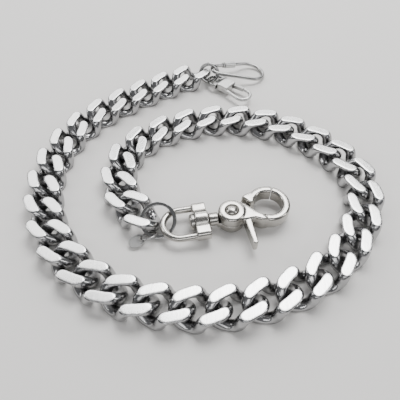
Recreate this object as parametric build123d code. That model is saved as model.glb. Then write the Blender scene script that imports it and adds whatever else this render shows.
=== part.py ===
from build123d import *
import os
from math import atan2, cos, degrees, pi, radians, sin, sqrt

# Curb wallet chain: thirty-eight filed steel links, a trigger snap for the belt
# loop at one end, and a small swivel clip with a wire carabiner for the wallet
# at the other.  Millimetres, +Z up, the chain lying in a loose inward coil on
# z = 0.  The origin is the centre of the laid chain's footprint on the table.

os.makedirs("parts", exist_ok=True)

# ---- curb link ----
wire_d = 4.2          # round wire the links are bent from
link_pitch = 12.0     # spacing of the links as laid
link_slack = 0.9      # play along the chain between the laid and the pulled spacing
crown_r = 5.7         # centreline radius of a link's rounded end
link_twist = 43.0     # lean of each rounded end about the chain's length, degrees
twist_x = 5.5         # the lean is reached this far from the link's middle
link_t = 7.4          # thickness over the two filed faces

# ---- how the chain is laid: joints in a stretch, bend at each joint ----
stretches = [(4, 4.0), (10, 12.0), (5, 9.0), (4, 12.0), (2, 24.0), (8, 12.0), (4, 25.0)]
first_link_x = -7.1
first_link_y = 87.0
first_heading = -151.0
turn_limit = 24.0     # how far a link swings on its neighbour's wire, each way

# ---- split ring and tag at the snap end ----
split_r = 6.3         # mean radius
split_w = 1.4         # radial width
split_t = 1.7         # height of the two turns together
split_ahead = 8.87    # ring's middle from the last link's middle, along the link
split_aside = 2.54
split_z = 4.61
split_turn = 34.1     # heading of the ring from the last link's heading
split_rise = 32.7     # rise of the ring's plane across its heading
tag_ring_r = 2.9
tag_ring_d = 0.7
tag_ahead = 9.75      # tag ring's middle from the last link's middle
tag_aside = -3.79
tag_ring_z = 2.16
tag_heading = 212.0
tag_ring_rise = 33.4
tag_len = 6.6
tag_w = 4.5
tag_t = 0.8
tag_hole_r = 1.1
tag_roll = -20.0
tag_lean = 8.0

# ---- trigger snap, measured from the end of its bail ----
snap_ahead = 12.34    # end of the bail from the last link's middle
snap_aside = 1.65
snap_heading = 14.0
axis_z = 4.4          # height of the swivel axis
bail_d = 2.6
bail_r = 6.4          # centreline radius of the bail's bow
yoke_x = 11.8
yoke_len = 5.2
yoke_r = 4.2
post_r = 1.9
run_gap = 0.06        # running clearance of pins and posts
head_r = 3.2
neck_r = 2.5
pivot_x = 26.1
boss_r = 5.2
plate_z = 4.45        # where the lever lies on the body
snap_top = 8.5
hook_x = 41.0
hook_y = 1.9
hook_r = 6.9          # mean radius of the hook's eye
hook_w = 3.0
hook_lo = 1.4
hook_hi = 7.2
jaw_angle = 63.0      # where lever and finger meet round the eye
pin_r = 1.6
pin_head_r = 2.1
trigger_w = 2.3
trigger_len = 15.2
lever_open = -28.0
spring_r = 2.75
spring_wire = 0.5

# ---- end ring, swivel clip and carabiner at the wallet end ----
end_r = 4.4
end_d = 1.8
end_ahead = -8.77     # ring's middle from the first link's middle, along the link
end_aside = 2.76
end_z = 5.41
end_heading = -7.7
end_rise = 67.2
clip_ahead = -8.87    # end of the clip's bail from the first link's middle
clip_aside = 4.03
clip_z = 3.2
clip_heading = -37.5
clip_bail_d = 1.4
clip_bail_r = 4.0
clip_bar_x = 5.6
clip_post_r = 0.9
block_x = 7.3
block_len = 6.2
block_w = 7.4
block_t = 3.6
clip_wire_d = 1.7
clip_end_x = 21.2     # centre of the clip's round end
clip_end_r = 3.9
gate_len = 7.0
gate_w = 1.5
gate_t = 1.8
gate_pin_r = 0.45
gate_open = -26.0
cara_ahead = -10.3
cara_aside = 3.17
cara_z = 7.28
cara_heading = 17.8
cara_d = 1.7
cara_len = 28.5
cara_big_r = 7.2
cara_small_r = 3.6
sleeve_len = 6.4
sleeve_r = 1.6
sleeve_travel = 4.6
cara_gap = 3.6


def polar(r, a):
    return Vector(r * cos(radians(a)), r * sin(radians(a)), 0)


def rod(path, radius):
    """Round bar of one radius along a straight path."""
    return sweep(Plane(origin=path @ 0, z_dir=path % 0) * Circle(radius), path=path)


def bent(arc, radius):
    """Round bar along a circular arc."""
    centre = arc.arc_center
    turn = Axis(centre, ((arc @ 0) - centre).cross(arc % 0))
    return revolve(Plane(origin=arc @ 0, z_dir=arc % 0) * Circle(radius), turn, degrees(arc.length / arc.radius))


def bar(p, q, radius):
    return rod(Line(p, q), radius)


def disc(radius, z0, z1, x=0.0, y=0.0):
    return Pos(x, y, (z0 + z1) / 2) * Cylinder(radius, z1 - z0)


def along_x(radius, x0, x1, z=0.0, y=0.0):
    return Pos((x0 + x1) / 2, y, z) * Rot(0, 90, 0) * Cylinder(radius, x1 - x0)


def slab(outline, z0, z1):
    return Pos(0, 0, z0) * extrude(make_face(Polyline(*outline, close=True)), z1 - z0)


def eased(shape, radius, z_values):
    """Round the flat top and bottom rims of a plate."""
    rims = [e for e in shape.edges() if any(abs(e.center().Z - z) < 0.01 for z in z_values)]
    return fillet(rims, radius)


# ---- the curb link, its centre at the origin, +X towards the snap ----
half_len = (link_pitch + wire_d + link_slack) / 2
crown_x = half_len - crown_r
lean = radians(link_twist)


shoulder_turn = atan2(sqrt(crown_r ** 2 - (twist_x - crown_x) ** 2), twist_x - crown_x)


def shoulder(end, side):
    """Where a leaning rounded end gives way to a twisted side."""
    w = side * crown_r * sin(shoulder_turn)
    return Vector(end * twist_x, w * cos(lean), -end * w * sin(lean))


def crown(end):
    return ThreePointArc(shoulder(end, 1), Vector(end * half_len, 0, 0), shoulder(end, -1))


def side_arcs(side):
    """Two equal arcs, tangent to both rounded ends and to each other on the Y axis."""
    p = shoulder(1, side)
    t = Vector(-sin(shoulder_turn), side * cos(shoulder_turn) * cos(lean), -side * cos(shoulder_turn) * sin(lean))
    k = -t.X * p.X - t.Z * p.Z
    rise = (sqrt(k ** 2 + t.Y ** 2 * (p.X ** 2 + p.Z ** 2)) - k) / t.Y
    middle = Vector(0, p.Y + rise, 0)
    front = TangentArc(p, middle, tangent=t)
    back = TangentArc(shoulder(-1, side), middle, tangent=Vector(-t.X, t.Y, -t.Z))
    return [front, back]


def curb_link():
    loop = bent(crown(1), wire_d / 2)
    for arc in side_arcs(1) + side_arcs(-1) + [crown(-1)]:
        loop += bent(arc, wire_d / 2)
    return loop & Box(4 * half_len, 4 * half_len, link_t)


# ---- where the links lie ----
def laid_links():
    """Centre and heading of every link, from the wallet end to the snap end."""
    x, y, heading = first_link_x, first_link_y, first_heading
    places = [(x, y, heading)]
    for joints, bend in stretches:
        for _ in range(joints):
            step = polar(link_pitch / 2, heading) + polar(link_pitch / 2, heading + bend)
            x, y, heading = x + step.X, y + step.Y, heading + bend
            places.append((x, y, heading))
    return places


places = laid_links()
link_frames = [Location((x, y, link_t / 2), (0, 0, h)) for x, y, h in places]


def in_frame(frame, x, y=0.0, z=0.0):
    return (frame * Location((x, y, z))).position


def leaning_frame(centre, heading, rise):
    """Frame whose X runs along the heading and whose Y climbs at the rise."""
    return Location(centre) * Location((0, 0, 0), (0, 0, heading)) * Location((0, 0, 0), (rise, 0, 0))


# ---- split ring: a flat two-turn ring through the last link and the bail ----
def split_ring():
    rim = RectangleRounded(split_w, split_t, 0.3)
    groove = Pos(split_w / 2, 0) * Rectangle(0.5, 0.16)
    seam = Pos(-split_w / 2, 0) * Rectangle(0.5, 0.16)
    return revolve(Plane.XZ * Pos(split_r, 0) * (rim - groove - seam), Axis.Z)


def round_ring(mean_r, wire):
    return Torus(mean_r, wire / 2)


last = link_frames[-1]
split_mid = in_frame(last, split_ahead, split_aside)
split_heading = places[-1][2] + split_turn
split_frame = leaning_frame((split_mid.X, split_mid.Y, split_z), split_heading, split_rise)

# tag ring leaning on the split ring's wire, and the oval tag on it
tag_mid = in_frame(last, tag_ahead, tag_aside)
tag_ring_frame = leaning_frame((tag_mid.X, tag_mid.Y, tag_ring_z), tag_heading, tag_ring_rise)
tag_hang = in_frame(tag_ring_frame, tag_ring_r + 0.15)
tag_frame = leaning_frame((tag_hang.X, tag_hang.Y, tag_hang.Z), tag_heading, tag_roll)
tag_frame = tag_frame * Location((0, 0, 0), (0, tag_lean, 0))


def oval_tag():
    blank = extrude(Pos(tag_len / 2 - tag_hole_r - 0.6, 0) * Ellipse(tag_len / 2, tag_w / 2), tag_t / 2, both=True)
    blank = eased(blank, 0.25, (-tag_t / 2, tag_t / 2))
    return blank - Cylinder(tag_hole_r, 2 * tag_t)


# ---- trigger snap ----
bail_seat = in_frame(last, snap_ahead, snap_aside)
snap_frame = Location((bail_seat.X, bail_seat.Y, axis_z), (0, 0, snap_heading))


def swivel_bail():
    """Bowed round bail and the yoke it is cast with; the axis is X at z = 0."""
    bow = ThreePointArc((bail_r, bail_r), (0, 0), (bail_r, -bail_r))
    body = bent(bow, bail_d / 2)
    for side in (1, -1):
        body += bar((bail_r, side * bail_r, 0), (yoke_x + 1, side * bail_r, 0), bail_d / 2)
    span = 2 * bail_r + bail_d + 0.2
    arm = Pos(yoke_x + yoke_len / 2, 0, 0) * Box(yoke_len, span, 4.6)
    body += fillet(arm.edges().filter_by(Axis.X), 1.6)
    barrel = along_x(yoke_r, yoke_x, yoke_x + yoke_len)
    body += fillet(barrel.edges().filter_by(GeomType.CIRCLE), 0.6)
    return body - along_x(post_r + run_gap, yoke_x - 3, yoke_x + yoke_len + 3)


def swivel_post():
    """Rivet that carries the snap body in the yoke, with a domed head in the bail."""
    head = along_x(head_r, yoke_x - 1.9, yoke_x - 0.1)
    rim = head.edges().filter_by(GeomType.CIRCLE).sort_by(Axis.X)[0]
    return fillet(rim, 1.2) + along_x(post_r, yoke_x - 0.2, pivot_x - boss_r - 1.2)


def finger():
    """Fixed part of the hook's eye, its root standing on the body."""
    ring = RectangleRounded(hook_w, hook_hi - hook_lo, 1.1)
    sweep_angle = 165.0 - jaw_angle - 1.0
    arc = revolve(Plane.XZ * Pos(hook_r, (hook_lo + hook_hi) / 2) * ring, Axis.Z, revolution_arc=sweep_angle)
    arc = Pos(hook_x, hook_y, 0) * Rot(0, 0, jaw_angle + 1.0) * arc
    root = slab([(31.5, 6.5), (34.45, 3.0), (36.0, 4.2), (36.8, 7.4), (35.4, 8.3), (32.6, 7.5)], hook_lo, hook_hi)
    return arc + eased(root, 0.7, (hook_lo, hook_hi))


def snap_body():
    """Lower plate, neck and finger, in the snap's frame with z = 0 on the table."""
    body = disc(boss_r - 0.1, 0.4, plate_z - 0.1, pivot_x)
    body = fillet(body.edges().filter_by(GeomType.CIRCLE).sort_by(Axis.Z)[0], 0.8)
    body += slab([(23.0, 3.6), (31.5, 6.5), (34.3, 3.2), (30.2, 1.0), (26.0, -1.0)], 0.9, plate_z - 0.1)
    neck = along_x(neck_r, yoke_x + yoke_len + 0.12, pivot_x - boss_r - 0.1, axis_z)
    body += fillet(neck.edges().filter_by(GeomType.CIRCLE).sort_by(Axis.X)[0], 0.4)
    body += slab([(20.2, 2.4), (24.0, 3.4), (24.0, -3.4), (20.2, -2.4)], axis_z - neck_r, plate_z - 0.1)
    body += finger()
    body -= along_x(post_r, yoke_x, pivot_x - boss_r - 1.2, axis_z)
    body -= disc(pin_r, 0, plate_z, pivot_x)
    return body


def snap_lever():
    """Boss plate, jaw and trigger in one piece, lying on the body."""
    boss = disc(boss_r, plate_z, snap_top, pivot_x)
    lever = fillet(boss.edges().filter_by(GeomType.CIRCLE).sort_by(Axis.Z)[-1], 1.2)
    band = slab([(26.0, 4.9), (29.4, 4.3), (31.6, 3.0), (33.6, 0.7), (35.4, -1.6), (37.6, -3.2),
                 (38.6, -6.0), (36.4, -5.9), (34.0, -4.6), (32.0, -4.6), (29.0, -4.7), (26.0, -5.0)],
                plate_z, 7.8)
    lever += eased(band, 0.8, (7.8,))
    lever += slab([(33.2, -0.2), (35.4, -1.6), (37.6, -3.2), (38.6, -6.0), (36.4, -5.9), (34.0, -4.4)],
                  hook_lo, plate_z + 0.2)
    ring = RectangleRounded(hook_w, hook_hi - hook_lo, 1.1)
    arc = revolve(Plane.XZ * Pos(hook_r, (hook_lo + hook_hi) / 2) * ring, Axis.Z,
                  revolution_arc=jaw_angle - 0.4 + 122.0)
    lever += Pos(hook_x, hook_y, 0) * Rot(0, 0, -122.0) * arc
    x0 = 31.1 - trigger_w / 2
    x1 = 31.1 + trigger_w / 2
    blade = slab([(x0, -3.5), (x1 + 0.3, -3.5), (x1, -trigger_len), (x0 + 0.5, -trigger_len)], 2.6, 7.4)
    lever += fillet(blade.edges().filter_by(Axis.Z).group_by(Axis.Y)[0], 0.7)
    lever -= disc(pin_r + run_gap, plate_z - 1, snap_top + 1, pivot_x)
    lever -= disc(pin_head_r + 0.35, snap_top - 0.8, snap_top + 1, pivot_x)
    lever -= disc(spring_r + 0.75, plate_z - 1, plate_z + 1.7, pivot_x)
    return lever


def pivot_pin():
    head = disc(pin_head_r, snap_top - 0.75, snap_top + 0.35, pivot_x)
    head = fillet(head.edges().filter_by(GeomType.CIRCLE).sort_by(Axis.Z)[-1], 0.7)
    return head + disc(pin_r, 0.4, snap_top - 0.7, pivot_x)


def lever_spring():
    coil = Helix(pitch=0.58, height=0.9, radius=spring_r)
    return Pos(pivot_x, 0, plate_z + 0.3) * sweep(Plane(origin=coil @ 0, z_dir=coil % 0) * Circle(spring_wire / 2),
                                                 path=coil, is_frenet=True)


# ---- wallet end ----
first = link_frames[0]
end_mid = in_frame(first, end_ahead, end_aside)
end_frame = leaning_frame((end_mid.X, end_mid.Y, end_z), end_heading, end_rise)
clip_seat = in_frame(first, clip_ahead, clip_aside)
clip_frame = Location((clip_seat.X, clip_seat.Y, clip_z), (0, 0, clip_heading))


def clip_bail():
    """Bow and flat crossbar of the small clip; the swivel axis is X."""
    bow = ThreePointArc((clip_bail_r, clip_bail_r), (0, 0), (clip_bail_r, -clip_bail_r))
    body = bent(bow, clip_bail_d / 2)
    for side in (1, -1):
        y = side * clip_bail_r
        body += bar((clip_bail_r, y, 0), (clip_bar_x + 0.5, y, 0), clip_bail_d / 2)
    plate = Pos(clip_bar_x + 0.75, 0, 0) * Box(1.5, 2 * clip_bail_r + clip_bail_d + 0.2, 2.4)
    body += fillet(plate.edges().filter_by(Axis.X), 0.6)
    return body - along_x(clip_post_r + run_gap, clip_bar_x - 1, clip_bar_x + 3)


def clip_post():
    head = along_x(1.7, clip_bar_x - 1.1, clip_bar_x - 0.08)
    rim = head.edges().filter_by(GeomType.CIRCLE).sort_by(Axis.X)[0]
    return fillet(rim, 0.6) + along_x(clip_post_r, clip_bar_x - 0.2, block_x + 2.6)


gate_x = block_x + block_len - 1.3
gate_y = block_w / 2 - 1.5


def clip_body():
    """Block and hooked wire frame, z = 0 on the swivel axis."""
    block = Pos(block_x + block_len / 2, 0, 0) * Box(block_len, block_w, block_t)
    body = fillet(block.edges(), 0.5)
    end_y = -0.7
    top_y = end_y + clip_end_r
    path = Line((block_x + 2.0, -2.7, 0), (clip_end_x, end_y - clip_end_r, 0))
    body += rod(path, clip_wire_d / 2)
    body += bent(ThreePointArc((clip_end_x, end_y - clip_end_r), (clip_end_x + clip_end_r, end_y),
                               (clip_end_x, top_y)), clip_wire_d / 2)
    body += Pos(clip_end_x, end_y - clip_end_r, 0) * Sphere(clip_wire_d / 2)
    body += bar((clip_end_x, top_y, 0), (gate_x + gate_len + 0.25, top_y, 0), clip_wire_d / 2)
    slot = Pos(gate_x + 1.5, gate_y + 1.5, 0) * Box(5.4, 5.4, gate_t + 0.3)
    body -= slot
    body -= Pos(gate_x, gate_y, 0) * Cylinder(gate_pin_r, 2 * block_t)
    body -= along_x(clip_post_r, clip_bar_x, block_x + 2.6)
    return body


def clip_gate():
    """Straight gate pivoted in the block's fork, closing on the hook's tip."""
    eye = Cylinder(1.1, gate_t)
    tip_y = -0.7 + clip_end_r - gate_y
    blade = slab([(0, 1.0), (0, -0.6), (gate_len, tip_y - gate_w / 2), (gate_len, tip_y + gate_w / 2)],
                 -gate_t / 2, gate_t / 2)
    gate = Pos(gate_x, gate_y, 0) * (eye + blade)
    return gate - Pos(gate_x, gate_y, 0) * Cylinder(gate_pin_r + run_gap, 2 * gate_t)


def gate_pin():
    return Pos(gate_x, gate_y, 0) * Cylinder(gate_pin_r, block_t - 0.1)


# ---- wire carabiner with a screw sleeve ----
cara_seat = in_frame(first, cara_ahead, cara_aside)
cara_drop = degrees(atan2(cara_z - cara_d / 2 - 0.1, cara_len))
cara_frame = (Location((cara_seat.X, cara_seat.Y, cara_z)) * Location((0, 0, 0), (0, 0, cara_heading))
              * Location((0, 0, 0), (0, cara_drop, 0)))
taper = degrees(atan2(cara_big_r - cara_small_r,
                      sqrt((cara_len - cara_big_r - cara_small_r) ** 2 - (cara_big_r - cara_small_r) ** 2)))
small_top = Vector(cara_small_r, 0, 0) + polar(cara_small_r, 90 + taper)
big_top = Vector(cara_len - cara_big_r, 0, 0) + polar(cara_big_r, 90 + taper)
leg_run = big_top - small_top
sleeve_mid = small_top + leg_run * 0.5


def carabiner_wire():
    """Pear-shaped wire loop, cut through where the sleeve bridges it."""
    small_bot = Vector(small_top.X, -small_top.Y, 0)
    big_bot = Vector(big_top.X, -big_top.Y, 0)
    unit = leg_run.normalized()
    r = cara_d / 2
    wire = bent(ThreePointArc(small_top, (0, 0, 0), small_bot), r)
    wire += bar(small_bot, big_bot, r)
    wire += bent(ThreePointArc(big_bot, (cara_len, 0, 0), big_top), r)
    wire += bar(big_top, sleeve_mid + unit * (cara_gap / 2), r)
    wire += bar(small_top, sleeve_mid - unit * (cara_gap / 2), r)
    stop = sleeve_mid - unit * (sleeve_len / 2 + 0.15)
    wire += bar(stop, stop - unit * 0.9, r + 0.45)
    return wire


def carabiner_sleeve():
    unit = leg_run.normalized()
    a = sleeve_mid - unit * (sleeve_len / 2)
    b = sleeve_mid + unit * (sleeve_len / 2)
    tube = bar(a, b, sleeve_r)
    tube = fillet(tube.edges().filter_by(GeomType.CIRCLE), 0.35)
    return tube - bar(a - unit, b + unit, cara_d / 2 + run_gap)


# ---- put everything in place ----
table = Location((0, 0, -axis_z))
link = curb_link()
nodes = {f"link_{i + 1:02d}": frame * link for i, frame in enumerate(link_frames)}
nodes["split_ring"] = split_frame * split_ring()
nodes["tag_ring"] = tag_ring_frame * round_ring(tag_ring_r, tag_ring_d)
nodes["oval_tag"] = tag_frame * oval_tag()
nodes["swivel_bail"] = snap_frame * swivel_bail()
nodes["swivel_post"] = snap_frame * swivel_post()
nodes["snap_body"] = snap_frame * table * snap_body()
nodes["snap_lever"] = snap_frame * table * snap_lever()
nodes["pivot_pin"] = snap_frame * table * pivot_pin()
nodes["lever_spring"] = snap_frame * table * lever_spring()
nodes["end_ring"] = end_frame * round_ring(end_r, end_d)
nodes["clip_bail"] = clip_frame * clip_bail()
nodes["clip_post"] = clip_frame * clip_post()
nodes["clip_body"] = clip_frame * clip_body()
nodes["clip_gate"] = clip_frame * clip_gate()
nodes["gate_pin"] = clip_frame * gate_pin()
nodes["carabiner_wire"] = cara_frame * carabiner_wire()
nodes["carabiner_sleeve"] = cara_frame * carabiner_sleeve()

box = Compound([solid for shape in nodes.values() for solid in shape.solids()]).bounding_box()
to_origin = Location((-(box.min.X + box.max.X) / 2, -(box.min.Y + box.max.Y) / 2, -box.min.Z))

for name, shape in nodes.items():
    placed = to_origin * shape
    placed.label = name
    export_step(placed, f"parts/{name}.step")
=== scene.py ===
from math import pi, radians

import bmesh
import bpy
from bpy.props import FloatProperty, FloatVectorProperty, IntProperty, PointerProperty
from mathutils import Matrix, Vector


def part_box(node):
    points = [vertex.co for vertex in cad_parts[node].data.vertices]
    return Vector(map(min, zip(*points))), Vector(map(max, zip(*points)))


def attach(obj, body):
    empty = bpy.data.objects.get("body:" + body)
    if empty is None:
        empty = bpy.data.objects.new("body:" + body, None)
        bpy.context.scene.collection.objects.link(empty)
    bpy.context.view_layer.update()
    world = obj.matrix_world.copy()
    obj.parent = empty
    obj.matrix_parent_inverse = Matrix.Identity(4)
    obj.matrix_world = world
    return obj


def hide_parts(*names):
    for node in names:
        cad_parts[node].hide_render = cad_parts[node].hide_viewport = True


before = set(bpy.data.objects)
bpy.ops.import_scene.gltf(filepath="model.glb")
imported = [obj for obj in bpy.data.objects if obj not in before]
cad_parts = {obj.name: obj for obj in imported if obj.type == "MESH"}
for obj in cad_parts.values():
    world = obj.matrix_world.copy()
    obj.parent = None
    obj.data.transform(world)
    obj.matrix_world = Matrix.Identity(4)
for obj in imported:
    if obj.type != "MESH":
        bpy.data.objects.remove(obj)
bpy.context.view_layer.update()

bl_info = {
    "name": "Wallet chain",
    "version": (1, 0, 0),
    "blender": (4, 5, 0),
    "location": "3D View > Sidebar > Wallet Chain",
    "description": "Finishes a filed curb wallet chain, its snap, clip and carabiner, and sets its stage",
    "category": "Object",
}

MM = 0.001
LINKS = sorted(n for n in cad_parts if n.startswith("link_"))


# ---- sizes and colours ----
def length(name, mm, words):
    """A length, given in millimetres and kept in metres."""
    return FloatProperty(name=name, description=words, default=mm * MM, min=0.0, subtype="DISTANCE",
                         unit="LENGTH")


def colour(name, rgb, words):
    return FloatVectorProperty(name=name, description=words, default=rgb, size=3, min=0.0, max=1.0,
                               subtype="COLOR")


def share(name, value, words):
    return FloatProperty(name=name, description=words, default=value, min=0.0, max=1.0, subtype="FACTOR")


def degrees_of(name, value, words):
    return FloatProperty(name=name, description=words, default=radians(value), subtype="ANGLE",
                         unit="ROTATION")


def place(name, mm, words):
    return FloatVectorProperty(name=name, description=words, default=tuple(v * MM for v in mm), size=3,
                               subtype="TRANSLATION", unit="LENGTH")


class ChainFinish(bpy.types.PropertyGroup):
    """Colours, polish and painted corner shade of the steel."""
    # one steel in two colours: the sides are painted darker as shade, and the flats are painted lighter as
    # highlight
    shaded_side_colour: colour("Bent sides", (0.44, 0.44, 0.445), "Steel of a link's rounded wire")
    lit_flat_colour: colour("Filed flats", (0.86, 0.86, 0.85), "Steel of the two filed faces")
    # this dark colour is painted shade, mixed into the metals where ambient occlusion finds corners
    corner_shade_colour: colour("Painted shade", (0.035, 0.033, 0.032), "Dark film left in the corners")
    nickel_colour: colour("Nickel", (0.50, 0.485, 0.455), "Plating of the trigger snap")
    wire_colour: colour("Wire", (0.42, 0.42, 0.415), "Drawn wire of the rings and carabiner")
    satin_colour: colour("Satin", (0.64, 0.64, 0.63), "Brushed block, sleeve and tag")
    side_roughness: share("Side roughness", 0.14, "Polish of the bent sides")
    flat_roughness: share("Flat roughness", 0.24, "Polish of the filed faces")
    # how much painted shade the corners get
    corner_shade: share("Grime amount", 0.75, "How much film the corners hold")
    flat_depth: length("Flat depth", 0.07, "How far below a filed face still counts as filed")


class HardwareSizes(bpy.types.PropertyGroup):
    """Sizes of the pieces made here in place of plain solids."""
    split_centre: place("Split ring middle", (-15.42, -33.818, 4.61), "Middle of the split ring")
    split_radius: length("Split ring radius", 6.3, "Mean radius of the split ring")
    split_width: length("Split ring width", 1.4, "Width of its strip")
    split_height: length("Split ring height", 1.7, "Height of its two turns")
    split_heading: degrees_of("Split ring heading", 356.1, "Heading of the split ring")
    split_rise: degrees_of("Split ring rise", 32.7, "Rise of its plane across its heading")
    snap_place: place("Snap place", (-13.234, -36.655, 0.0), "End of the snap's bail, at table height")
    snap_heading: degrees_of("Snap heading", 14.0, "Way the snap points")
    pivot_ahead: length("Pivot", 26.1, "Lever's pivot from the end of the bail")
    link_grain: length("Link grain", 0.24, "Facet size of the tumbled links")
    cast_grain: length("Cast grain", 0.14, "Facet size of the cast and tumbled pieces")
    tag_place: place("Tag hole", (-21.211, -40.964, 2.16), "Middle of the tag's hole")
    tag_heading: degrees_of("Tag heading", 212.0, "Way the tag points")
    tag_roll: degrees_of("Tag roll", -20.0, "Roll of the tag about its heading")
    tag_lean: degrees_of("Tag lean", 8.0, "How far the tag's end drops")
    tag_length: length("Tag length", 6.6, "Length of the oval tag")
    tag_width: length("Tag width", 4.5, "Width of the oval tag")
    tag_thickness: length("Tag thickness", 0.8, "Thickness of the oval tag")
    tag_margin: length("Tag margin", 0.6, "Metal between the hole and the tag's end")
    tag_hole: length("Tag hole radius", 1.1, "Radius of the tag's hole")


class StageSettings(bpy.types.PropertyGroup):
    """Camera, floor and lights."""
    camera_place: place("Camera", (4.934, -123.253, 129.3), "Where the camera stands")
    camera_pitch: degrees_of("Pitch", 38.91, "Tilt of the camera up from straight down")
    camera_heading: degrees_of("Heading", 2.95, "Turn of the camera about the vertical")
    camera_lens: FloatProperty(name="Lens", description="Focal length", default=36.81, min=1.0, unit="CAMERA")
    floor_colour: colour("Floor", (0.78, 0.765, 0.745), "Plain pale floor")
    room_level: FloatProperty(name="Room", description="Light level of the room", default=0.24, min=0.0)
    light_level: FloatProperty(name="Lights", description="Strength of every softbox", default=1.0, min=0.0)


# ---- node helpers ----
CORNER_SAMPLES = 8


class Shader:
    """A material's node tree with short ways to add to it."""

    def __init__(self, name):
        self.material = bpy.data.materials.new(name)
        self.material.use_nodes = True
        self.nodes = self.material.node_tree.nodes
        self.links = self.material.node_tree.links
        self.skin = self.nodes["Principled BSDF"]
        self.coords = self.nodes.new("ShaderNodeTexCoord").outputs["Object"]

    def join(self, value, socket):
        """Link a socket, or set a plain value."""
        if isinstance(value, bpy.types.NodeSocket):
            self.links.new(value, socket)
        else:
            socket.default_value = value

    def math(self, operation, *values, clamp=False):
        node = self.nodes.new("ShaderNodeMath")
        node.operation = operation
        node.use_clamp = clamp
        for value, socket in zip(values, node.inputs):
            self.join(value, socket)
        return node.outputs[0]

    def stretched(self, scale, turn):
        """Object coordinates turned and stretched."""
        node = self.nodes.new("ShaderNodeMapping")
        node.inputs["Scale"].default_value = scale
        node.inputs["Rotation"].default_value = turn
        self.links.new(self.coords, node.inputs["Vector"])
        return node.outputs[0]

    def noise(self, scale, detail=5.0, rough=0.6, vector=None):
        node = self.nodes.new("ShaderNodeTexNoise")
        node.inputs["Scale"].default_value = scale
        node.inputs["Detail"].default_value = detail
        node.inputs["Roughness"].default_value = rough
        self.links.new(vector or self.coords, node.inputs["Vector"])
        return node.outputs[0]

    def spread(self, value, low, high, to_low, to_high):
        """Carry low..high over to to_low..to_high, clamped."""
        node = self.nodes.new("ShaderNodeMapRange")
        for key, number in (("From Min", low), ("From Max", high), ("To Min", to_low), ("To Max", to_high)):
            self.join(number, node.inputs[key])
        self.links.new(value, node.inputs["Value"])
        return node.outputs["Result"]

    def blend(self, factor, first, second):
        """first where factor is 0, second where it is 1."""
        node = self.nodes.new("ShaderNodeMix")
        node.data_type = "RGBA"
        colours = [s for s in node.inputs if s.type == "RGBA"]
        self.join(factor, node.inputs[0])
        for value, socket in zip((first, second), colours):
            self.join(value if isinstance(value, bpy.types.NodeSocket) else (*value, 1.0), socket)
        return next(s for s in node.outputs if s.type == "RGBA")

    def corners(self, reach):
        """1 in the open, falling to 0 deep in a corner."""
        node = self.nodes.new("ShaderNodeAmbientOcclusion")
        node.samples = CORNER_SAMPLES
        node.inputs["Distance"].default_value = reach
        return node.outputs["AO"]

    def bump(self, *heights):
        """Each height is (socket, strength, distance in metres); they add up."""
        normal = None
        for height, strength, distance in heights:
            node = self.nodes.new("ShaderNodeBump")
            node.inputs["Strength"].default_value = strength
            node.inputs["Distance"].default_value = distance
            self.links.new(height, node.inputs["Height"])
            if normal:
                self.links.new(normal, node.inputs["Normal"])
            normal = node.outputs["Normal"]
        self.links.new(normal, self.skin.inputs["Normal"])


def scratches(shader, across, along, turn):
    """Fine lines: noise squeezed across and drawn out along one direction."""
    stretched = shader.stretched((across, along, across), (0.0, 0.0, turn))
    return shader.noise(1.0, detail=3.0, vector=stretched)


def metal(name, tint, rough, finish, corner_shade_reach, scratch_depth=0.5, cloud=0.08):
    """Bright plated or polished metal: handling clouds, hairlines and painted shade in the corners."""
    s = Shader(name)
    clouds = s.noise(260.0)
    fine = s.noise(2600.0, detail=4.0)
    hair = scratches(s, 9000.0, 260.0, 0.6)
    cross = scratches(s, 7000.0, 300.0, -0.9)
    # painted shade: the base colour darkens towards the dark corner colour where ambient occlusion finds
    # corners; the same mask also roughens them
    painted_shade = s.math("MULTIPLY", s.spread(s.corners(corner_shade_reach), 0.25, 0.95, 1.0, 0.0), finish.corner_shade)
    painted_shade = s.math("MULTIPLY", painted_shade, s.spread(fine, 0.3, 0.7, 0.75, 1.0), clamp=True)
    dulled = tuple(c * 0.86 for c in tint)
    base = s.blend(s.spread(clouds, 0.35, 0.65, 0.0, 1.0), tint, dulled)
    s.links.new(s.blend(painted_shade, base, tuple(finish.corner_shade_colour)), s.skin.inputs["Base Color"])
    sheen = s.math("ADD", rough, s.spread(clouds, 0.3, 0.7, 0.0, cloud))
    sheen = s.math("ADD", sheen, s.spread(hair, 0.55, 0.75, 0.0, 0.10))
    s.links.new(s.math("ADD", sheen, s.math("MULTIPLY", painted_shade, 0.25)), s.skin.inputs["Roughness"])
    s.skin.inputs["Metallic"].default_value = 1.0
    s.bump((hair, 0.12 * scratch_depth, 0.04 * MM), (cross, 0.08 * scratch_depth, 0.03 * MM),
           (clouds, 0.10, 0.1 * MM))
    return s.material


LINK_CORNER = 3.5 * MM


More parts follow.
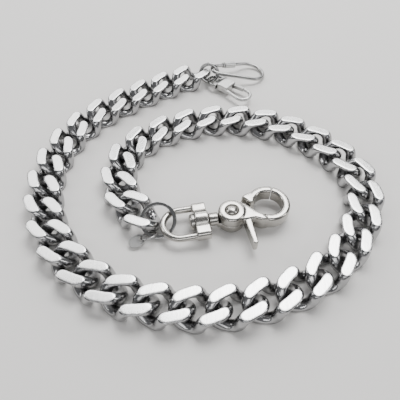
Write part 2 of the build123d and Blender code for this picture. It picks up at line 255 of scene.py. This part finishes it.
def link_steel(finish, thickness):
    """Bent bright wire with two filed and buffed flats."""
    s = Shader("curb_link_steel")
    split = s.nodes.new("ShaderNodeSeparateXYZ")
    s.links.new(s.coords, split.inputs[0])
    from_middle = s.math("ABSOLUTE", s.math("SUBTRACT", split.outputs["Z"], thickness / 2))
    edge = thickness / 2 - finish.flat_depth
    flat = s.math("GREATER_THAN", from_middle, edge)
    clouds = s.noise(220.0)
    fine = s.noise(2400.0, detail=4.0)
    filing = scratches(s, 11000.0, 220.0, 0.35)
    buffing = scratches(s, 6000.0, 160.0, -1.1)
    # painted shade: the wire darkens towards the dark corner colour where ambient occlusion finds corners
    painted_shade = s.math("MULTIPLY", s.spread(s.corners(LINK_CORNER), 0.2, 0.9, 1.0, 0.0), finish.corner_shade)
    painted_shade = s.math("MULTIPLY", painted_shade, s.spread(fine, 0.3, 0.7, 0.7, 1.0), clamp=True)
    # the sides' darker and the flats' lighter colour are painted shade and painted highlight on one steel;
    # the filing streaks on the flats are real marks
    side = s.blend(s.spread(clouds, 0.35, 0.65, 0.0, 1.0), tuple(finish.shaded_side_colour),
                   tuple(c * 0.8 for c in finish.shaded_side_colour))
    flats = s.blend(s.spread(filing, 0.4, 0.7, 0.0, 0.35), tuple(finish.lit_flat_colour),
                    tuple(c * 0.86 for c in finish.lit_flat_colour))
    base = s.blend(flat, s.blend(painted_shade, side, tuple(finish.corner_shade_colour)), flats)
    s.links.new(base, s.skin.inputs["Base Color"])
    side_rough = s.math("ADD", finish.side_roughness, s.spread(clouds, 0.3, 0.7, 0.0, 0.10))
    side_rough = s.math("ADD", side_rough, s.math("MULTIPLY", painted_shade, 0.3))
    flat_rough = s.math("ADD", finish.flat_roughness, s.spread(filing, 0.4, 0.7, 0.0, 0.14))
    gap = s.math("SUBTRACT", flat_rough, side_rough)
    s.links.new(s.math("ADD", side_rough, s.math("MULTIPLY", gap, flat)), s.skin.inputs["Roughness"])
    s.skin.inputs["Metallic"].default_value = 1.0
    s.bump((s.math("MULTIPLY", filing, flat), 0.06, 0.02 * MM), (buffing, 0.07, 0.03 * MM),
           (clouds, 0.05, 0.2 * MM))
    return s.material


def brushed(name, tint, rough, finish, turn, reach=0.002):
    """Satin metal with one way of brushing."""
    s = Shader(name)
    lines = scratches(s, 8000.0, 120.0, turn)
    clouds = s.noise(500.0)
    # painted shade: the satin darkens towards the dark corner colour where ambient occlusion finds corners
    painted_shade = s.math("MULTIPLY", s.spread(s.corners(reach), 0.2, 0.95, 1.0, 0.0), finish.corner_shade * 0.8, clamp=True)
    base = s.blend(s.spread(lines, 0.35, 0.7, 0.0, 1.0), tint, tuple(c * 0.78 for c in tint))
    s.links.new(s.blend(painted_shade, base, tuple(finish.corner_shade_colour)), s.skin.inputs["Base Color"])
    sheen = s.math("ADD", rough, s.spread(lines, 0.3, 0.7, -0.05, 0.12))
    s.links.new(s.math("ADD", sheen, s.spread(clouds, 0.3, 0.7, 0.0, 0.06)), s.skin.inputs["Roughness"])
    s.skin.inputs["Metallic"].default_value = 1.0
    s.bump((lines, 0.35, 0.04 * MM), (clouds, 0.1, 0.08 * MM))
    return s.material


def dress(nodes, material):
    """Give CAD nodes a finish through their own material slots."""
    for name in nodes:
        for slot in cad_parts[name].material_slots:
            slot.material = material


# ---- mesh helpers ----
def piece_from(bm, name, material, body, slot, *replaced, smooth=radians(40)):
    """Turn a finished bmesh into a piece that rides on a body."""
    bmesh.ops.remove_doubles(bm, verts=bm.verts, dist=1e-7)
    bmesh.ops.recalc_face_normals(bm, faces=bm.faces)
    mesh = bpy.data.meshes.new(name)
    bm.to_mesh(mesh)
    bm.free()
    mesh.materials.append(material)
    obj = bpy.data.objects.new(name, mesh)
    bpy.context.scene.collection.objects.link(obj)
    mesh.shade_smooth()
    mesh.set_sharp_from_angle(angle=smooth)
    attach(obj, body)
    if replaced:
        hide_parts(*replaced)
    return obj


def cast_copy(node, name, material, body, slot, grain, passes):
    """A cast and tumbled double of a CAD node: its sharp edges are worn round."""
    bm = bmesh.new()
    bm.from_mesh(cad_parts[node].data)
    obj = piece_from(bm, name, material, body, slot, node, smooth=radians(60))
    remesh = obj.modifiers.new("cast", "REMESH")
    remesh.mode = "VOXEL"
    remesh.voxel_size = grain
    remesh.use_smooth_shade = True
    tumble = obj.modifiers.new("tumble", "SMOOTH")
    tumble.factor = 0.5
    tumble.iterations = passes
    return obj


def frame_at(centre, heading, rise=0.0, lean=0.0):
    """A piece's own frame: placed, turned to its heading, then rolled and leant."""
    tilt = Matrix.Rotation(rise, 4, "X") @ Matrix.Rotation(lean, 4, "Y")
    return Matrix.Translation(Vector(centre)) @ Matrix.Rotation(heading, 4, "Z") @ tilt


def settings():
    """The scene's finish and hardware sizes."""
    return bpy.context.scene.wallet_chain_finish, bpy.context.scene.wallet_chain_sizes


# ---- the pieces ----
# how many passes of tumbling wear each kind of piece has had
LINK_PASSES = 12
BAIL_PASSES = 18
SNAP_PASSES = 42
# half outline of the pivot rivet, outwards from its axis and up from the table, mm
RIVET_OUTLINE = ((0.0, 1.0), (1.6, 1.0), (1.6, 7.5), (2.25, 7.7), (2.3, 8.1), (2.05, 8.6), (1.45, 9.0),
                 (0.7, 9.2), (0.0, 9.25))
RIVET_STEPS = 48
RING_TURNS = 1.96
RING_END = radians(60)


class WALLETCHAIN_OT_links(bpy.types.Operator):
    """Polish the bent wire and the filed flats of every link"""
    bl_idname = "walletchain.links"
    bl_label = "Finish Links"

    def execute(self, context):
        finish, sizes = settings()
        low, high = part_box(LINKS[0])
        steel = link_steel(finish, high.z + low.z)
        for link in LINKS:
            cast_copy(link, f"tumbled_{link}", steel, link, "polished_steel", sizes.link_grain, LINK_PASSES)
        return {"FINISHED"}


class WALLETCHAIN_OT_rings(bpy.types.Operator):
    """Wind the split ring from flat strip and finish the small rings"""
    bl_idname = "walletchain.rings"
    bl_label = "Make Rings"
    steps: IntProperty(name="Steps", description="Steps round one turn", default=72, min=12)

    def execute(self, context):
        finish, sizes = settings()
        wire = metal("ring_wire", tuple(finish.wire_colour), 0.16, finish, 0.002)
        dress(["tag_ring", "end_ring"], wire)
        turn_height = sizes.split_height / 2
        strip = turn_height * 0.9
        bm = bmesh.new()
        bmesh.ops.create_grid(bm, x_segments=1, y_segments=1, size=0.5)
        bmesh.ops.scale(bm, vec=(sizes.split_width, strip, 1.0), verts=bm.verts)
        bmesh.ops.bevel(bm, geom=bm.verts[:], offset=strip * 0.28, segments=3, profile=0.5, affect="VERTICES",
                        material=-1)
        bmesh.ops.rotate(bm, verts=bm.verts, matrix=Matrix.Rotation(pi / 2, 3, "X"))
        bmesh.ops.translate(bm, verts=bm.verts, vec=(sizes.split_radius, 0.0, -turn_height / 2))
        steps = int(self.steps * RING_TURNS)
        bmesh.ops.spin(bm, geom=bm.verts[:] + bm.edges[:] + bm.faces[:], cent=(0, 0, 0), axis=(0, 0, 1),
                       dvec=(0, 0, turn_height / steps), angle=2 * pi * RING_TURNS, steps=steps,
                       use_duplicate=False)
        bmesh.ops.rotate(bm, verts=bm.verts, matrix=Matrix.Rotation(RING_END, 3, "Z"))
        bmesh.ops.transform(bm, verts=bm.verts,
                            matrix=frame_at(sizes.split_centre, sizes.split_heading, sizes.split_rise))
        piece_from(bm, "split_ring_coils", wire, "split_ring", "ring_wire", "split_ring")
        return {"FINISHED"}


class WALLETCHAIN_OT_tag(bpy.types.Operator):
    """Press the oval tag with its raised rim and hole"""
    bl_idname = "walletchain.tag"
    bl_label = "Make Tag"
    sides: IntProperty(name="Sides", description="Sides of the oval", default=64, min=16)

    def execute(self, context):
        finish, sizes = settings()
        satin = brushed("tag_satin", tuple(finish.satin_colour), 0.38, finish, 0.4, 0.0008)
        rim = sizes.tag_thickness
        bm = bmesh.new()
        bmesh.ops.create_circle(bm, cap_ends=False, radius=0.5, segments=self.sides)
        bmesh.ops.scale(bm, vec=(sizes.tag_length, sizes.tag_width, 1.0), verts=bm.verts)
        beyond_hole = sizes.tag_length / 2 - sizes.tag_hole - sizes.tag_margin
        bmesh.ops.translate(bm, verts=bm.verts, vec=(beyond_hole, 0.0, 0.0))
        bmesh.ops.create_circle(bm, cap_ends=False, radius=sizes.tag_hole, segments=self.sides)
        bmesh.ops.bridge_loops(bm, edges=bm.edges[:])
        bmesh.ops.translate(bm, verts=bm.verts, vec=(0.0, 0.0, -sizes.tag_thickness / 2))
        raised = bmesh.ops.extrude_face_region(bm, geom=bm.faces[:], use_keep_orig=True)["geom"]
        bmesh.ops.translate(bm, verts=[v for v in raised if isinstance(v, bmesh.types.BMVert)],
                            vec=(0.0, 0.0, sizes.tag_thickness))
        bmesh.ops.recalc_face_normals(bm, faces=bm.faces)
        top = [f for f in bm.faces if abs(f.normal.z) > 0.5 and f.calc_center_median().z > 0.0]
        bmesh.ops.inset_region(bm, faces=top, thickness=rim * 0.45, depth=0.0, use_even_offset=True)
        bmesh.ops.inset_region(bm, faces=top, thickness=rim * 0.12, depth=-rim * 0.22, use_even_offset=True)
        lie = frame_at(sizes.tag_place, sizes.tag_heading, sizes.tag_roll, sizes.tag_lean)
        bmesh.ops.transform(bm, verts=bm.verts, matrix=lie)
        piece_from(bm, "pressed_tag", satin, "tag", "satin_steel", "oval_tag", smooth=radians(35))
        return {"FINISHED"}


class WALLETCHAIN_OT_trigger_snap(bpy.types.Operator):
    """Plate the trigger snap, its bail, rivets and lever"""
    bl_idname = "walletchain.trigger_snap"
    bl_label = "Finish Trigger Snap"

    def execute(self, context):
        finish, sizes = settings()
        nickel = metal("snap_nickel", tuple(finish.nickel_colour), 0.17, finish, 0.0022, 1.0, 0.10)
        rivet = metal("rivet_nickel", tuple(c * 0.9 for c in finish.nickel_colour), 0.2, finish, 0.0015)
        cast_copy("swivel_bail", "cast_bail", nickel, "bail", "plated_snap", sizes.cast_grain, BAIL_PASSES)
        cast_copy("snap_body", "cast_body", nickel, "snap", "plated_snap", sizes.cast_grain, SNAP_PASSES)
        cast_copy("snap_lever", "cast_lever", nickel, "lever", "plated_snap", sizes.cast_grain, SNAP_PASSES)
        dress(["swivel_post"], rivet)
        bm = bmesh.new()
        outline = [bm.verts.new((x * MM, 0.0, z * MM)) for x, z in RIVET_OUTLINE]
        for below, above in zip(outline, outline[1:]):
            bm.edges.new((below, above))
        bmesh.ops.spin(bm, geom=bm.verts[:] + bm.edges[:], cent=(0, 0, 0), axis=(0, 0, 1), angle=2 * pi,
                       steps=RIVET_STEPS, use_merge=True, use_duplicate=False)
        bail_end = frame_at(sizes.snap_place, sizes.snap_heading)
        pivot = bail_end @ Matrix.Translation((sizes.pivot_ahead, 0.0, 0.0))
        bmesh.ops.transform(bm, verts=bm.verts, matrix=pivot)
        piece_from(bm, "domed_rivet", rivet, "snap", "plated_snap", "pivot_pin")
        dress(["lever_spring"], metal("spring_steel", (0.36, 0.35, 0.34), 0.3, finish, 0.001))
        return {"FINISHED"}


class WALLETCHAIN_OT_wallet_clip(bpy.types.Operator):
    """Brush the small swivel clip and polish its bail and gate"""
    bl_idname = "walletchain.wallet_clip"
    bl_label = "Finish Wallet Clip"

    def execute(self, context):
        finish, _ = settings()
        satin = brushed("clip_satin", tuple(finish.satin_colour), 0.30, finish, 0.92)
        bright = metal("clip_bright", tuple(finish.wire_colour), 0.15, finish, 0.0015)
        dress(["clip_body"], satin)
        dress(["clip_bail", "clip_gate", "clip_post", "gate_pin"], bright)
        return {"FINISHED"}


class WALLETCHAIN_OT_carabiner(bpy.types.Operator):
    """Finish the wire carabiner and its screw sleeve"""
    bl_idname = "walletchain.carabiner"
    bl_label = "Finish Carabiner"

    def execute(self, context):
        finish, _ = settings()
        bright = metal("carabiner_wire_steel", tuple(finish.wire_colour), 0.15, finish, 0.0015)
        satin = brushed("sleeve_satin", tuple(finish.satin_colour), 0.26, finish, 1.9)
        dress(["carabiner_wire"], bright)
        dress(["carabiner_sleeve"], satin)
        return {"FINISHED"}


# ---- floor, lights and camera ----
FLOOR_REACH = 9.0
FLOOR_DROP = 0.04 * MM
SOFTBOXES = (
    # name, place (m), width, height, watts; each faces the middle of the chain
    ("window", (0.14, 0.40, 0.80), 0.62, 0.42, 9.0),
    ("far", (0.0, 0.85, 0.46), 1.10, 0.30, 3.6),
    ("back left", (-0.45, 0.52, 0.70), 0.46, 0.46, 2.2),
    ("left", (-0.72, 0.10, 0.40), 0.16, 0.60, 1.6),
    ("right", (0.74, -0.10, 0.36), 0.12, 0.60, 1.4),
    ("front", (-0.25, -0.75, 0.34), 0.50, 0.08, 0.7),
    ("behind", (0.10, -0.70, 0.52), 0.60, 0.22, 1.5),
)


class WALLETCHAIN_OT_stage(bpy.types.Operator):
    """Lay the floor, set the softboxes and the room, and stand the camera"""
    bl_idname = "walletchain.stage"
    bl_label = "Set Stage"

    def execute(self, context):
        stage = context.scene.wallet_chain_stage
        bm = bmesh.new()
        bmesh.ops.create_grid(bm, x_segments=1, y_segments=1, size=FLOOR_REACH)
        bmesh.ops.translate(bm, verts=bm.verts, vec=(0, 0, -FLOOR_DROP))
        mesh = bpy.data.meshes.new("floor")
        bm.to_mesh(mesh)
        bm.free()
        paper = Shader("floor_paper")
        paper.skin.inputs["Base Color"].default_value = (*stage.floor_colour, 1.0)
        paper.skin.inputs["Roughness"].default_value = 0.75
        mesh.materials.append(paper.material)
        floor = bpy.data.objects.new("floor", mesh)
        context.scene.collection.objects.link(floor)
        for name, spot, wide, high, watts in SOFTBOXES:
            light = bpy.data.lights.new(f"softbox {name}", "AREA")
            light.shape = "RECTANGLE"
            light.size = wide
            light.size_y = high
            light.energy = watts * stage.light_level
            lamp = bpy.data.objects.new(light.name, light)
            lamp.location = spot
            lamp.rotation_euler = (-Vector(spot)).to_track_quat("-Z", "Y").to_euler()
            context.scene.collection.objects.link(lamp)
        room = bpy.data.worlds.new("room")
        room.use_nodes = True
        sky = room.node_tree.nodes["Background"]
        sky.inputs["Color"].default_value = (0.86, 0.87, 0.90, 1.0)
        sky.inputs["Strength"].default_value = stage.room_level
        context.scene.world = room
        lens = bpy.data.cameras.new("camera")
        lens.sensor_width = 36.0
        lens.lens = stage.camera_lens
        lens.shift_y = -1.0 / 400
        lens.clip_start = 0.005
        lens.clip_end = 20.0
        camera = bpy.data.objects.new("camera", lens)
        camera.location = stage.camera_place
        camera.rotation_euler = (stage.camera_pitch, 0.0, stage.camera_heading)
        context.scene.collection.objects.link(camera)
        context.scene.camera = camera
        return {"FINISHED"}


OPERATORS = (WALLETCHAIN_OT_links, WALLETCHAIN_OT_rings, WALLETCHAIN_OT_tag, WALLETCHAIN_OT_trigger_snap,
             WALLETCHAIN_OT_wallet_clip, WALLETCHAIN_OT_carabiner, WALLETCHAIN_OT_stage)
GROUPS = (("wallet_chain_finish", ChainFinish), ("wallet_chain_sizes", HardwareSizes),
          ("wallet_chain_stage", StageSettings))


class WALLETCHAIN_PT_panel(bpy.types.Panel):
    """Sizes, colours and makers of the wallet chain"""
    bl_idname = "WALLETCHAIN_PT_panel"
    bl_label = "Wallet Chain"
    bl_space_type = "VIEW_3D"
    bl_region_type = "UI"
    bl_category = "Wallet Chain"

    def draw(self, context):
        for name, group in GROUPS:
            box = self.layout.box()
            for prop in group.__annotations__:
                box.prop(getattr(context.scene, name), prop)
        for operator in OPERATORS:
            self.layout.operator(operator.bl_idname)


def register():
    for name, group in GROUPS:
        bpy.utils.register_class(group)
        setattr(bpy.types.Scene, name, PointerProperty(type=group))
    for cls in (*OPERATORS, WALLETCHAIN_PT_panel):
        bpy.utils.register_class(cls)


def unregister():
    for cls in reversed((*OPERATORS, WALLETCHAIN_PT_panel)):
        bpy.utils.unregister_class(cls)
    for name, group in reversed(GROUPS):
        delattr(bpy.types.Scene, name)
        bpy.utils.unregister_class(group)


def main():
    register()
    bpy.ops.walletchain.stage()
    bpy.ops.walletchain.links()
    bpy.ops.walletchain.rings()
    bpy.ops.walletchain.tag()
    bpy.ops.walletchain.trigger_snap()
    bpy.ops.walletchain.wallet_clip()
    bpy.ops.walletchain.carabiner()


if __name__ == "__main__":
    main()
